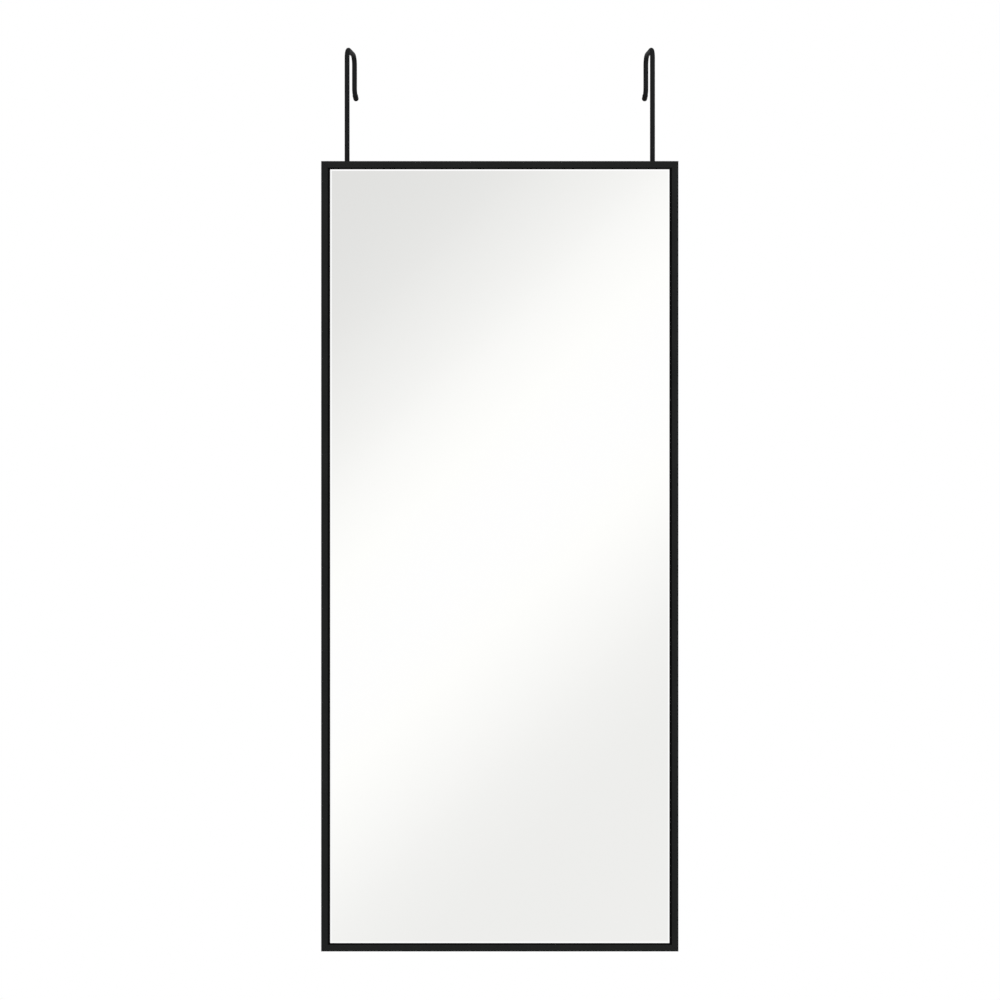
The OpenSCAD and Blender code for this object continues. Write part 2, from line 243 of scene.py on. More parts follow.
def finished(bm, name, materials, body, slot, *nodes, sharp=SHARP):
    """Makes a mesh into a piece of the object, smooth but for edges that turn by more than sharp."""
    for face in bm.faces:
        face.smooth = True
    for edge in bm.edges:
        edge.smooth = edge.calc_face_angle(math.pi) < sharp
    mesh = bpy.data.meshes.new(name)
    bm.to_mesh(mesh)
    bm.free()
    for material in materials:
        mesh.materials.append(material)
    piece = bpy.data.objects.new(name, mesh)
    bpy.context.scene.collection.objects.link(piece)
    shading = piece.modifiers.new("flat_faces_stay_flat", "WEIGHTED_NORMAL")
    shading.keep_sharp = True
    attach(piece, body)
    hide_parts(*nodes)
    return piece


def new_finish(name, colour, roughness, metallic=0.0, specular=0.5):
    """A material whose pattern follows the piece it is on: its tree, its shader and its coordinates."""
    material = bpy.data.materials.new(name)
    material.use_nodes = True
    tree = material.node_tree
    shader = tree.nodes["Principled BSDF"]
    shader.inputs["Base Color"].default_value = (*colour, 1)
    shader.inputs["Roughness"].default_value = roughness
    shader.inputs["Metallic"].default_value = metallic
    shader.inputs["Specular IOR Level"].default_value = specular
    where = tree.nodes.new("ShaderNodeTexCoord").outputs["Object"]
    return material, tree, shader, where


def grain(tree, where, size, detail=3.0, roughness=0.5):
    """Noise from 0 to 1 whose lumps are about this size in metres."""
    node = tree.nodes.new("ShaderNodeTexNoise")
    node.inputs["Scale"].default_value = 1 / size
    node.inputs["Detail"].default_value = detail
    node.inputs["Roughness"].default_value = roughness
    tree.links.new(where, node.inputs["Vector"])
    return node.outputs["Fac"]


def ranged(tree, value, low, high, start=0.3, end=0.7):
    """Runs from low to high while a value runs from start to end; noise mostly stays in 0.3 to 0.7."""
    node = tree.nodes.new("ShaderNodeMapRange")
    for socket, number in (("From Min", start), ("From Max", end), ("To Min", low), ("To Max", high)):
        node.inputs[socket].default_value = number
    tree.links.new(value, node.inputs["Value"])
    return node.outputs["Result"]


def blended(tree, share, first, second):
    """Two colours mixed; each is three numbers or another node's output."""
    node = tree.nodes.new("ShaderNodeMix")
    node.data_type = "RGBA"
    tree.links.new(share, node.inputs["Factor"])
    for socket, colour in (("A", first), ("B", second)):
        slots = [i for i in node.inputs if i.name == socket and i.type == "RGBA"]
        if isinstance(colour, tuple):
            slots[0].default_value = (*colour, 1)
        else:
            tree.links.new(colour, slots[0])
    return [o for o in node.outputs if o.type == "RGBA"][0]


def toned(tree, shader, pattern, first, second):
    """Lets a pattern shift the surface's colour between two tones."""
    tone = blended(tree, ranged(tree, pattern, 0, 1), first, second)
    tree.links.new(tone, shader.inputs["Base Color"])


def glossed(tree, shader, pattern, low, high):
    """Lets a pattern shift the surface's roughness between two values."""
    tree.links.new(ranged(tree, pattern, low, high), shader.inputs["Roughness"])


def embossed(tree, shader, height, depth):
    """Raises the surface by a height from 0 to 1 times a depth in metres."""
    node = tree.nodes.new("ShaderNodeBump")
    node.inputs["Distance"].default_value = depth
    tree.links.new(height, node.inputs["Height"])
    tree.links.new(node.outputs["Normal"], shader.inputs["Normal"])


def powder_coat(name, colour, paler, specular):
    """Satin black powder: a fine orange-peel skin, with a tone that drifts a little along the bar."""
    material, tree, shader, where = new_finish(name, colour, 0.45, specular=specular)
    drift = grain(tree, where, 60 * MM, detail=2)
    peel = grain(tree, where, 0.7 * MM, detail=2)
    toned(tree, shader, drift, colour, paler)
    glossed(tree, shader, peel, 0.42, 0.52)
    embossed(tree, shader, peel, 0.004 * MM)
    return material


def screw_cutter():
    """The drilled and countersunk hole for a corner screw, with the rail's rear face at Z = 0."""
    cone = SCREW_HEAD_ROOM - SCREW_HOLE_RADIUS
    return turned([
        (0, -BOX_WALL - OVER, 0),
        (SCREW_HOLE_RADIUS, -BOX_WALL - OVER, 0),
        (SCREW_HOLE_RADIUS, -SCREW_SINK - cone, 0),
        (SCREW_HEAD_ROOM, -SCREW_SINK, 0),
        (SCREW_HEAD_ROOM, OVER, 0),
        (0, OVER, 0),
    ])


def out_of_back(inwards, along):
    """Stands an upright shape on the frame's rear face, at a place across and along one side."""
    return Matrix.Translation((inwards, rail_depth, along)) @ Matrix.Rotation(math.radians(-90), 4, "X")


def rod_cutters(hand):
    """The bush's hole in a rail's outer wall, and the threaded end's hole in its inner wall."""
    axis = Matrix.Translation((hook_axes[hand].x, hook_axes[hand].y, frame_hi.z))
    bores = (
        (BUSH_HOLE_RADIUS, OVER, -LIP_WALL - OVER),
        (STUD_HOLE_RADIUS, -box_inner + OVER, -BOX_WIDTH - OVER),
    )
    return [
        moved(turned([(0, low, 0), (radius, low, 0), (radius, high, 0), (0, high, 0)]), axis)
        for radius, high, low in bores
    ]


def rail(side):
    """One length of the extrusion in its place, mitred and drilled."""
    length = SIDE_LENGTHS[side]
    bar = extruded([
        [(0, 0), (LIP_WIDTH, 0), (LIP_WIDTH, LIP_WALL), (LIP_WALL, LIP_WALL), (LIP_WALL, channel_back),
         (BOX_WIDTH, channel_back), (BOX_WIDTH, rail_depth), (0, rail_depth)],
        [(LIP_WALL, box_front), (box_inner, box_front), (box_inner, box_back), (LIP_WALL, box_back)],
    ], length)
    outer_corners = [(0, 0), (LIP_WIDTH, 0), (BOX_WIDTH, rail_depth), (0, rail_depth)]
    round_long_edges(bar, outer_corners, EDGE_ROUNDING)
    mitre(bar, length)
    cutters = [
        moved(screw_cutter(), on_side(side) @ out_of_back(box_middle, place))
        for step in screw_places for place in (step, length - step)
    ]
    if side == "top":
        cutters += rod_cutters("left_hook") + rod_cutters("right_hook")
    return combined(moved(bar, on_side(side)), together(cutters), "DIFFERENCE")


RAIL_BLACK = (0.0112, 0.0120, 0.0117)
RAIL_BLACK_PALER = (0.0136, 0.0143, 0.0140)
rail_coat = powder_coat("satin_black_rail", RAIL_BLACK, RAIL_BLACK_PALER, 0.06)
for side, node in SIDE_NODES.items():
    finished(rail(side), node + "_extrusion", [rail_coat], "frame", "black_rail", node)


# ---------------------------------------- Corner keys
# An angle block of die-cast metal fills the hollow boxes of two rails at each corner. The upper two
# are bored, and each also carries a hook. They stay out of sight, with the casting's dull, pitted skin.

# Which two sides meet at each corner, and whether the corner is at the start of each.
CORNERS = {
    "top_left": (("top", True), ("left", False)),
    "top_right": (("right", True), ("top", False)),
    "bottom_right": (("bottom", True), ("right", False)),
    "bottom_left": (("left", True), ("bottom", False)),
}


def die_cast():
    material, tree, shader, where = new_finish("die_cast_key", (0.50, 0.51, 0.53), 0.5, metallic=1.0)
    pits = grain(tree, where, 0.9 * MM, detail=4)
    flow = grain(tree, where, 9 * MM, detail=2)
    toned(tree, shader, flow, (0.44, 0.45, 0.47), (0.56, 0.57, 0.58))
    glossed(tree, shader, pits, 0.42, 0.62)
    embossed(tree, shader, pits, 0.04 * MM)
    return material


def refinish(node, material):
    """Gives a construction piece whose shape stays a better surface."""
    for place in frame["nodes"][node].material_slots:
        place.material = material


key_metal = die_cast()
for corner in CORNERS:
    refinish(corner + "_corner_key", key_metal)


# ---------------------------------------- Corner screws
# Four M4 machine screws hold each key, two in each rail. Their countersunk heads have a cross recess
# and sit just below the rail's rear face; they are steel, blackened.
SCREW_RADIUS = 2.0 * MM
SCREW_ROOT = 1.65 * MM
SCREW_PITCH = 0.7 * MM
SCREW_HEAD_RADIUS = 3.6 * MM
SCREW_RIM = 0.2 * MM
SCREW_RIM_ROUNDING = 0.08 * MM
SCREW_NECK = 0.5 * MM
SCREW_LENGTH = 8 * MM
RECESS_LENGTH = 3.6 * MM
RECESS_WIDTH = 0.9 * MM
RECESS_DEPTH = 1.3 * MM
RECESS_FLOOR = (0.45, 0.6)
THREAD_ROOT_SHARE = 0.36
THREAD_CREST_SHARE = 0.12
THREAD_LEAD_IN = 0.8
TURNS_MEET = 1e-6
TURN_FROM_PLACE = 40 / MM


def threaded(radius, root, pitch, length):
    """A threaded rod up from Z = 0, with its first turn tapered as a lead-in."""
    steps = 24
    turns = math.ceil(length / pitch) + 1
    valley = THREAD_ROOT_SHARE * pitch / 2
    crest = THREAD_CREST_SHARE * pitch / 2
    bm = bmesh.new()
    flank = [(root, -pitch), (root, valley - pitch), (radius, -pitch / 2 - crest),
             (radius, -pitch / 2 + crest), (root, -valley), (root, 0)]
    chain = [bm.verts.new((r, 0, z)) for r, z in flank]
    edges = [bm.edges.new(pair) for pair in zip(chain, chain[1:])]
    bmesh.ops.spin(bm, geom=chain + edges, cent=(0, 0, 0), axis=(0, 0, 1), angle=math.tau * turns,
                   dvec=(0, 0, pitch / steps), steps=steps * turns, use_merge=False)
    bmesh.ops.remove_doubles(bm, verts=bm.verts[:], dist=TURNS_MEET)
    for height, away in ((0, -1), (length, 1)):
        cut = bmesh.ops.bisect_plane(
            bm, geom=bm.verts[:] + bm.edges[:] + bm.faces[:], dist=SAME_PLACE,
            plane_co=(0, 0, height), plane_no=(0, 0, away), clear_outer=True,
        )
        bmesh.ops.holes_fill(bm, edges=new_edges(cut["geom_cut"]))
    for vert in bm.verts:
        limit = root + max(0.0, vert.co.z) * THREAD_LEAD_IN
        across = vert.co.xy.length
        if across > limit:
            vert.co.x *= limit / across
            vert.co.y *= limit / across
    bmesh.ops.recalc_face_normals(bm, faces=bm.faces[:])
    return bm


def corner_screw():
    """One screw, with the rail's rear face at Z = 0."""
    cone = SCREW_HEAD_RADIUS - SCREW_RADIUS
    head = turned([
        (0, -SCREW_SINK - cone - OVER, 0),
        (SCREW_ROOT, -SCREW_SINK - cone - OVER, 0),
        (SCREW_RADIUS, -SCREW_SINK - cone, 0),
        (SCREW_HEAD_RADIUS, -SCREW_SINK - SCREW_RIM, 0),
        (SCREW_HEAD_RADIUS, -SCREW_SINK, SCREW_RIM_ROUNDING),
        (0, -SCREW_SINK, 0),
    ])
    shank_length = SCREW_LENGTH - SCREW_SINK - cone - SCREW_NECK
    shank = threaded(SCREW_RADIUS, SCREW_ROOT, SCREW_PITCH, shank_length)
    screw = combined(head, moved(shank, Matrix.Translation((0, 0, -SCREW_LENGTH))), "UNION")
    for turn in (0, 90):
        blade = bmesh.new()
        bmesh.ops.create_cube(blade, size=1)
        blade_size = (RECESS_LENGTH, RECESS_WIDTH, RECESS_DEPTH + OVER)
        bmesh.ops.scale(blade, vec=blade_size, verts=blade.verts[:])
        for vert in blade.verts:
            if vert.co.z < 0:
                vert.co.x *= RECESS_FLOOR[0]
                vert.co.y *= RECESS_FLOOR[1]
        middle = -SCREW_SINK - RECESS_DEPTH + (RECESS_DEPTH + OVER) / 2
        moved(blade, Matrix.Translation((0, 0, middle)) @ Matrix.Rotation(math.radians(turn), 4, "Z"))
        screw = combined(screw, blade, "DIFFERENCE")
    return screw


def blackened_steel():
    colour = (0.045, 0.045, 0.048)
    material, tree, shader, where = new_finish("blackened_steel", colour, 0.36, metallic=1.0)
    bloom = grain(tree, where, 1.2 * MM, detail=4)
    toned(tree, shader, bloom, (0.035, 0.035, 0.038), (0.060, 0.060, 0.064))
    glossed(tree, shader, bloom, 0.30, 0.44)
    return material


screw_metal = blackened_steel()
one_screw = bpy.data.meshes.new("one_screw")
made_screw = corner_screw()
made_screw.to_mesh(one_screw)
made_screw.free()
for corner, meeting in CORNERS.items():
    screws = bmesh.new()
    for side, at_start in meeting:
        for step in screw_places:
            place = step if at_start else SIDE_LENGTHS[side] - step
            # Screws stop at any angle, so a large multiple of its place turns each its own way.
            tightened = Matrix.Rotation(TURN_FROM_PLACE * place, 4, "Z")
            screw = bmesh.new()
            screw.from_mesh(one_screw)
            moved(screw, on_side(side) @ out_of_back(box_middle, place) @ tightened)
            screws = together([screws, screw])
    node = corner + "_corner_screws"
    finished(screws, corner + "_cross_head_screws", [screw_metal], "frame", "black_screw", node)


# ---------------------------------------- Glazing gaskets
# A strip of soft black rubber runs behind each rail's lip, mitred at the corners. It holds the glass
# off the metal, and its rounded bead shows as a thin, blacker line inside the face. That near-black is
# partly the rubber's own colour and partly painted shade, standing for the shaded gap behind the lip.
STILE_STRIP_SHOWS = 2.7 * MM
RAIL_STRIP_SHOWS = 1.6 * MM
BEAD_RISE = 0.5 * MM
BEAD_ROUNDING = 0.5 * MM
BEAD_OUTER_ROUNDING = 0.2 * MM
KEY_FIT = 0.15 * MM
SNUG = 0.05 * MM
BEVEL_SHOWS = 2.2 * MM
BEVEL_DROP = 1.0 * MM

glass_lo, glass_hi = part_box("mirror_glass")
glass_edge = glass_lo.x - frame_lo.x
glass_front = glass_lo.y - frame_lo.y


def gasket(side):
    """One strip in its place, mitred at both ends."""
    length = SIDE_LENGTHS[side]
    shows, meets = STILE_STRIP_SHOWS, RAIL_STRIP_SHOWS
    if side in ("top", "bottom"):
        shows, meets = meets, shows
    outer = LIP_WALL + KEY_FIT
    bead_outer = LIP_WIDTH + SNUG
    inner = LIP_WIDTH + shows
    bead_front = LIP_WALL - BEAD_RISE
    back_at_edge = glass_front - SNUG + BEVEL_DROP
    back_at_bead = glass_front - SNUG + BEVEL_DROP * BEVEL_SHOWS / (inner + BEVEL_SHOWS - glass_edge)
    strip = extruded([[
        (outer, LIP_WALL), (bead_outer, LIP_WALL), (bead_outer, bead_front), (inner, bead_front),
        (inner, back_at_bead), (glass_edge, back_at_edge), (outer, back_at_edge),
    ]], length)
    round_long_edges(strip, [(inner, bead_front)], BEAD_ROUNDING)
    round_long_edges(strip, [(bead_outer, bead_front)], BEAD_OUTER_ROUNDING)
    mitre(strip, length)
    # Past the lips, the mitre turns to where the two strips' inner edges meet.
    for vert in strip.verts:
        shift = max(0.0, vert.co.x - LIP_WIDTH) * (1 - meets / shows)
        vert.co.z += shift if vert.co.z > length / 2 else -shift
    return moved(strip, on_side(side))


def black_rubber_and_gap_shade():
    # Near-black: partly the rubber's own colour, partly painted shade of the gap behind the lip.
    material, tree, shader, where = new_finish("gasket_rubber_and_gap_shade", (0.0022,) * 3, 0.6, specular=0.04)
    drag = grain(tree, where, 0.25 * MM, detail=3)
    bloom = grain(tree, where, 30 * MM, detail=2)
    toned(tree, shader, bloom, (0.0015,) * 3, (0.0030,) * 3)
    glossed(tree, shader, drag, 0.52, 0.70)
    embossed(tree, shader, drag, 0.015 * MM)
    return material


gasket_rubber_and_gap_shade = black_rubber_and_gap_shade()
for side in SIDE_NODES:
    node = side + "_gasket"
    finished(gasket(side), side + "_glazing_strip", [gasket_rubber_and_gap_shade], "frame", "gasket", node)


# ---------------------------------------- Mirror glass
# One pane of 4 mm float glass, silvered on its back. Its front is ground to a flat bevel all round,
# which is why a white line runs round it: the bevel looks past the glowing card that paints the
# flat's grey sheen, into white.
ARRIS = 0.25 * MM
FACING = 0.5
CRISP_BEVEL = math.radians(2)

glass_middle = (glass_lo + glass_hi) / 2
flat_half_x = frame_width / 2 - LIP_WIDTH - STILE_STRIP_SHOWS - BEVEL_SHOWS
flat_half_z = frame_height / 2 - LIP_WIDTH - RAIL_STRIP_SHOWS - BEVEL_SHOWS


def pane():
    """The glass, whose faces carry the silvering, the backing paint and the ground edge."""
    half_x = (glass_hi.x - glass_lo.x) / 2
    half_z = (glass_hi.z - glass_lo.z) / 2
    edge_front = glass_lo.y + BEVEL_DROP
    middle = Vector((glass_middle.x, (edge_front + glass_hi.y) / 2, glass_middle.z))
    bm = bmesh.new()
    bmesh.ops.create_cube(bm, size=1)
    bmesh.ops.scale(bm, vec=(2 * half_x, glass_hi.y - edge_front, 2 * half_z), verts=bm.verts[:])
    bmesh.ops.translate(bm, vec=middle, verts=bm.verts[:])
    bm.normal_update()
    front = [f for f in bm.faces if f.normal.y < -FACING]
    bmesh.ops.inset_region(bm, faces=front, thickness=half_z - flat_half_z, depth=BEVEL_DROP,
                           use_even_offset=True)
    narrower = (flat_half_x / (half_x - half_z + flat_half_z), 1, 1)
    bmesh.ops.scale(bm, vec=narrower, space=Matrix.Translation(-middle), verts=front[0].verts[:])
    rims = [e for e in bm.edges if all(abs(v.co.x - middle.x) > half_x - ARRIS for v in e.verts)
            or all(abs(v.co.z - middle.z) > half_z - ARRIS for v in e.verts)]
    bmesh.ops.bevel(bm, geom=rims, offset=ARRIS, offset_type="OFFSET", segments=1, profile=0.5,
                    affect="EDGES", material=-1)
    bm.normal_update()
    for face in bm.faces:
        side_on = max(abs(face.normal.x), abs(face.normal.z)) > FACING
        face.material_index = 2 if side_on else 1 if face.normal.y > 0 else 0
    return bm


def silvering():
    """A true mirror, with the faint polish marks that only a close look finds."""
    silver = (0.995, 0.995, 0.993)
    material, tree, shader, where = new_finish("silvered_glass", silver, 0.015, metallic=1.0)
    glossed(tree, shader, grain(tree, where, 45 * MM, detail=3), 0.010, 0.022)
    return material


def backing_paint():
    material, tree, shader, where = new_finish("mirror_backing_paint", (0.16, 0.17, 0.18), 0.5)
    spray = grain(tree, where, 2 * MM, detail=4)
    toned(tree, shader, spray, (0.145, 0.155, 0.165), (0.18, 0.19, 0.20))
    embossed(tree, shader, spray, 0.02 * MM)
    return material


def ground_glass_edge():
    material, tree, shader, where = new_finish("ground_glass_edge", (0.35, 0.47, 0.43), 0.35)
    scratches = grain(tree, where, 0.6 * MM, detail=4)
    toned(tree, shader, scratches, (0.30, 0.43, 0.39), (0.45, 0.56, 0.52))
    glossed(tree, shader, scratches, 0.25, 0.5)
    return material


finished(pane(), "bevelled_mirror_pane", [silvering(), backing_paint(), ground_glass_edge()],
         "frame", "mirror", "mirror_glass", sharp=CRISP_BEVEL)


# ---------------------------------------- Film, foam and setting blocks
# Behind the silvering come a film that holds the splinters if the glass breaks and a sheet of foam
# that presses it forwards. Two rubber blocks carry the pane's weight in the bottom rail. All hidden.
def splinter_film():
    material, tree, shader, where = new_finish("splinter_film", (0.62, 0.66, 0.70), 0.22)
    ripple = grain(tree, where, 12 * MM, detail=2)
    toned(tree, shader, ripple, (0.58, 0.62, 0.67), (0.66, 0.70, 0.73))
    embossed(tree, shader, ripple, 0.1 * MM)
    return material


def closed_cell_foam():
    material, tree, shader, where = new_finish("closed_cell_foam", (0.85, 0.86, 0.86), 0.8, specular=0.2)
    cells = tree.nodes.new("ShaderNodeTexVoronoi")
    cells.inputs["Scale"].default_value = 1 / (0.8 * MM)
    tree.links.new(where, cells.inputs["Vector"])
    tone = blended(tree, cells.outputs["Distance"], (0.90, 0.91, 0.91), (0.74, 0.75, 0.76))
    tree.links.new(tone, shader.inputs["Base Color"])
    embossed(tree, shader, cells.outputs["Distance"], 0.15 * MM)
    return material


def moulded_rubber(name, colour, lighter):
    material, tree, shader, where = new_finish(name, colour, 0.62, specular=0.3)
    skin = grain(tree, where, 0.35 * MM, detail=3)
    toned(tree, shader, skin, colour, lighter)
    glossed(tree, shader, skin, 0.55, 0.72)
    embossed(tree, shader, skin, 0.02 * MM)
    return material


refinish("safety_film", splinter_film())
refinish("foam_sheet", closed_cell_foam())
block_rubber = moulded_rubber("setting_block_rubber", (0.026, 0.026, 0.026), (0.038, 0.038, 0.037))
refinish("left_setting_block", block_rubber)
refinish("right_setting_block", block_rubber)


# ---------------------------------------- Backboard
# A 3 mm sheet of brown hardboard closes the back. Its rough side faces the door, printed all over by
# the wire screen that it was pressed on, with loose fibres and darker flecks in it.
SCREEN_PITCH = 1.4 * MM
BOARD_EDGE = 0.3 * MM


def sheet_between(lo, hi, edge):
    """A flat board from corner to corner, with its edges eased."""
    bm = bmesh.new()
    bmesh.ops.create_cube(bm, size=1)
    bmesh.ops.scale(bm, vec=hi - lo, verts=bm.verts[:])
    bmesh.ops.translate(bm, vec=(lo + hi) / 2, verts=bm.verts[:])
    bmesh.ops.bevel(bm, geom=bm.edges[:], offset=edge, offset_type="OFFSET", segments=2, profile=0.5,
                    affect="EDGES", material=-1)
    return bm


def computed(tree, operation, *values):
    """One step of arithmetic; each value is a number or another node's output."""
    node = tree.nodes.new("ShaderNodeMath")
    node.operation = operation
    for socket, value in zip(node.inputs, values):
        if isinstance(value, (int, float)):
            socket.default_value = value
        else:
            tree.links.new(value, socket)
    return node.outputs["Value"]


def hardboard():
    board = (0.20, 0.12, 0.07)
    material, tree, shader, where = new_finish("hardboard_screen_side", board, 0.85, specular=0.15)
    blotches = grain(tree, where, 90 * MM, detail=3)
    fibres = grain(tree, where, 1.1 * MM, detail=6, roughness=0.7)
    flecks = grain(tree, where, 3.2 * MM, detail=5, roughness=0.8)
    brown = blended(tree, ranged(tree, blotches, 0, 1), (0.190, 0.108, 0.058), (0.218, 0.128, 0.070))
    fibrous = blended(tree, ranged(tree, fibres, 0, 0.55), brown, (0.36, 0.235, 0.145))
    flecked = blended(tree, ranged(tree, flecks, 0, 0.7, 0.60, 0.72), fibrous, (0.07, 0.038, 0.02))
    tree.links.new(flecked, shader.inputs["Base Color"])
    split = tree.nodes.new("ShaderNodeSeparateXYZ")
    tree.links.new(where, split.inputs["Vector"])
    wires = []
    for axis in ("X", "Z"):
        phase = computed(tree, "MULTIPLY", split.outputs[axis], math.tau / SCREEN_PITCH)
        wires.append(computed(tree, "SINE", phase))
    knots = ranged(tree, computed(tree, "MULTIPLY", *wires), 0, 0.7, -1, 1)
    embossed(tree, shader, computed(tree, "ADD", knots, fibres), 0.12 * MM)
    return material


board_lo, board_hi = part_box("backboard")
finished(sheet_between(board_lo, board_hi, BOARD_EDGE), "hardboard_back", [hardboard()],
         "frame", "hardboard", "backboard")


# ---------------------------------------- Hook bushes
# A flanged bush of black nylon is pressed into the top rail round each rod, so that the hook turns
# without scraping the coat. Only its thin flange shows, as a slightly wider foot under the rod.
FLANGE_CHAMFER = 0.2 * MM
BUSH_MOUTH_CHAMFER = 0.1 * MM
RUNNING_FIT = 0.05 * MM

rod_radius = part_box("left_hook")[1].z / 2


def at_rod(hand, height):
    """Stands an upright shape on a hook's turning axis."""
    axis = hook_axes[hand]
    return Matrix.Translation((axis.x, axis.y, height))


def bush(hand):
    """The sleeve in the rail's wall, and the flange on top of the rail."""
    lo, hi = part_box(hand + "_bush")
    flange_radius = (hi.x - lo.x) / 2
    flange_top = hi.z - frame_hi.z
    barrel = lo.z - frame_hi.z
    barrel_radius = BUSH_HOLE_RADIUS - SNUG
    bore = rod_radius + RUNNING_FIT
    sleeve = turned([
        (bore, barrel, 0), (barrel_radius, barrel, FLANGE_CHAMFER), (barrel_radius, 0, 0),
        (flange_radius, 0, 0), (flange_radius, flange_top, FLANGE_CHAMFER),
        (bore, flange_top, BUSH_MOUTH_CHAMFER),
    ])
    return moved(sleeve, at_rod(hand, frame_hi.z))


def black_nylon():
    material, tree, shader, where = new_finish("black_nylon", (0.012, 0.012, 0.0125), 0.4, specular=0.2)
    sparkle = grain(tree, where, 0.4 * MM, detail=3)
    toned(tree, shader, sparkle, (0.010, 0.010, 0.0105), (0.016, 0.016, 0.0165))
    glossed(tree, shader, sparkle, 0.34, 0.48)
    embossed(tree, shader, sparkle, 0.01 * MM)
    return material


HANDS = ("left_hook", "right_hook")
nylon = black_nylon()
for hand in HANDS:
    finished(bush(hand), hand + "_flanged_bush", [nylon], "frame", "nylon_bush", hand + "_bush")


# ---------------------------------------- Hooks
# Each hook is one quarter-inch steel rod, bent twice over the door's top edge and flared at its tail,
# powder coated like the frame. Its lower end is turned down and threaded M5, and turns in the rail.
DOOR_ROOM = 41.0 * MM
TAIL_LENGTH = 38 * MM
BEND_RADIUS = 12 * MM
FLARE_RADIUS = 10.0 * MM
FLARE_ANGLE = math.radians(60)
FLARE_LENGTH = 7 * MM
CAP_SEAT = 0.1 * MM
HOOK_TURN = {"left_hook": -6.7, "right_hook": 5.6}
STUD_RADIUS = 2.5 * MM
STUD_ROOT = 2.05 * MM
STUD_PITCH = 0.8 * MM
FACE_GAP = 0.15 * MM
ROD_SIDES = 40
BEND_STEPS = 14
FLARE_STEPS = 10
QUARTER_TURN = math.radians(90)

leg_step = DOOR_ROOM + rod_radius - hook_axes["left_hook"].y
shoulder_z = frame_hi.z - box_inner + FACE_GAP


def in_hook_plane(hand):
    """Turns X from a hook's front leg to its tail, with Z = 0 at the door's top edge."""
    turn = Matrix.Rotation(math.radians(90 + HOOK_TURN[hand]), 4, "Z")
    return at_rod(hand, 0) @ turn


def lengthened(bm, end, by):
    """Draws the rod on in a straight line from its end face."""
    grown = bmesh.ops.extrude_face_region(bm, geom=end)
    bmesh.ops.translate(bm, vec=by, verts=new_verts(grown["geom"]))
    bmesh.ops.delete(bm, geom=[f for f in end if f.is_valid], context="FACES_ONLY")
    return new_faces(grown["geom"])


def bent(bm, end, centre, angle, steps):
    """Bends the rod on from its end face round a centre in the hook's plane."""
    verts = list({v for f in end for v in f.verts})
    edges = list({e for f in end for e in f.edges})
    made = bmesh.ops.spin(bm, geom=verts + edges + end, cent=centre, axis=(0, 1, 0), angle=angle,
                          steps=steps, use_merge=False)
    return new_faces(made["geom_last"])


def hook_rod(hand):
    """The rod bent and flared on from its shoulder in the top rail, and its threaded lower end."""
    bm = bmesh.new()
    bend_z = rod_radius - BEND_RADIUS
    bmesh.ops.create_circle(bm, cap_ends=True, segments=ROD_SIDES, radius=rod_radius)
    bmesh.ops.translate(bm, vec=(0, 0, shoulder_z), verts=bm.verts[:])
    shoulder = bm.faces[:]
    end = lengthened(bm, shoulder, (0, 0, bend_z - shoulder_z))
    end = bent(bm, end, (BEND_RADIUS, 0, bend_z), QUARTER_TURN, BEND_STEPS)
    end = lengthened(bm, end, (leg_step - 2 * BEND_RADIUS, 0, 0))
    end = bent(bm, end, (leg_step - BEND_RADIUS, 0, bend_z), QUARTER_TURN, BEND_STEPS)
    end = lengthened(bm, end, (0, 0, -TAIL_LENGTH - bend_z))
    end = bent(bm, end, (leg_step + FLARE_RADIUS, 0, -TAIL_LENGTH), -FLARE_ANGLE, FLARE_STEPS)
    # The rod steps in a little where the cap is pushed on.
    seat = lengthened(bm, end, (0, 0, 0))
    middle = seat[0].calc_center_median()
    shrink = 1 - CAP_SEAT / rod_radius
    bmesh.ops.scale(bm, vec=(shrink,) * 3, space=Matrix.Translation(-middle), verts=seat[0].verts[:])
    flare = Vector((math.sin(FLARE_ANGLE), 0, -math.cos(FLARE_ANGLE)))
    lengthened(bm, seat, FLARE_LENGTH * flare)
    bmesh.ops.holes_fill(bm, edges=[e for e in bm.edges if e.is_boundary])
    bmesh.ops.recalc_face_normals(bm, faces=bm.faces[:])
    stud_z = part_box("left_hook")[0].z
    stud = threaded(STUD_RADIUS, STUD_ROOT, STUD_PITCH, shoulder_z - stud_z + OVER)
    moved(stud, Matrix.Translation((0, 0, stud_z)))
    return moved(combined(bm, stud, "UNION"), in_hook_plane(hand))


ROD_BLACK = (0.0128, 0.0134, 0.0140)
ROD_BLACK_PALER = (0.0155, 0.0160, 0.0166)
rod_coat = powder_coat("satin_black_rod", ROD_BLACK, ROD_BLACK_PALER, 0.015)
for hand in HANDS:
    finished(hook_rod(hand), hand + "_bent_rod", [rod_coat], hand, "black_rod", hand)


# ---------------------------------------- Tip caps
# A soft black vinyl cap is pushed over the flared end of each tail, so that it doesn't mark the door.
# It is a little thicker than the rod, round at its closed end and rolled at its mouth.
CAP_WALL = 0.4 * MM
CAP_END = 2.2 * MM
CAP_ROUND = 2.4 * MM
CAP_MOUTH_ROUND = 0.1 * MM
ROLL_HEIGHT = 0.9 * MM
ROLL_SLOPE = 0.3 * MM
ROLL_RISE = 0.1 * MM
ROLL_ROUND = 0.25 * MM
CAP_SOFT_ROUND = 0.2 * MM


